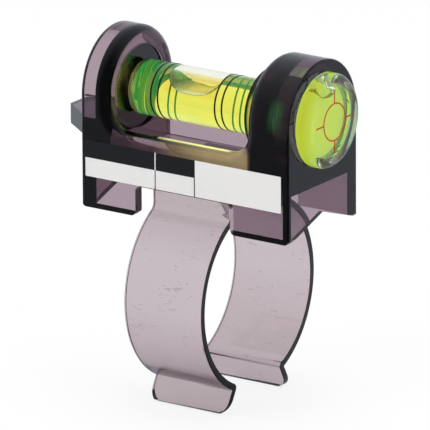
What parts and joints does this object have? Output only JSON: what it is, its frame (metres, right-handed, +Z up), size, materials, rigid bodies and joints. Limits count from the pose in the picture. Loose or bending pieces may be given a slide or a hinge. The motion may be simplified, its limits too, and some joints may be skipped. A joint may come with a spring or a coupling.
{
  "type": "drill mounted level",
  "caption": "Smoked plastic spirit level with a tube vial and a round vial, on a spring clip for a drill's round neck.",
  "frame": {"origin": "on the axis of the clip's ring, in the middle of the clip's width", "axes": "+X along the drill's axis, from the thumb tab to the round vial; +Y to the side away from the label; +Z up, from the ring to the tube vial"},
  "size_m": [0.0751, 0.0484, 0.0889],
  "materials": {
    "smoked_body": "clear smoked polycarbonate, moulded and glossy",
    "smoked_clip": "clear smoked polycarbonate strip, glossy, lightly scratched",
    "clear_acrylic": "clear cast acrylic, polished",
    "vial_plug": "pale moulded plastic",
    "vial_liquid": "clear yellow-green level liquid",
    "seat_black": "black moulded plastic, glossy",
    "mark_black": "black printed band",
    "target_red": "red printed lines",
    "label_film": "printed film, semi gloss"
  },
  "bodies": {
    "root": {"body_housing": "smoked_body", "drill_clip": "smoked_clip", "vial_seat": "seat_black", "vial_barrel": "clear_acrylic", "vial_plug": "vial_plug", "vial_liquid": "vial_liquid", "mark_outer_left": "mark_black", "mark_inner_left": "mark_black", "mark_inner_right": "mark_black", "mark_outer_right": "mark_black", "round_vial_lens": "clear_acrylic", "round_vial_disc": "vial_plug", "round_vial_liquid": "vial_liquid", "round_vial_target": "target_red", "front_label": "label_film"}
  },
  "joints": []
}
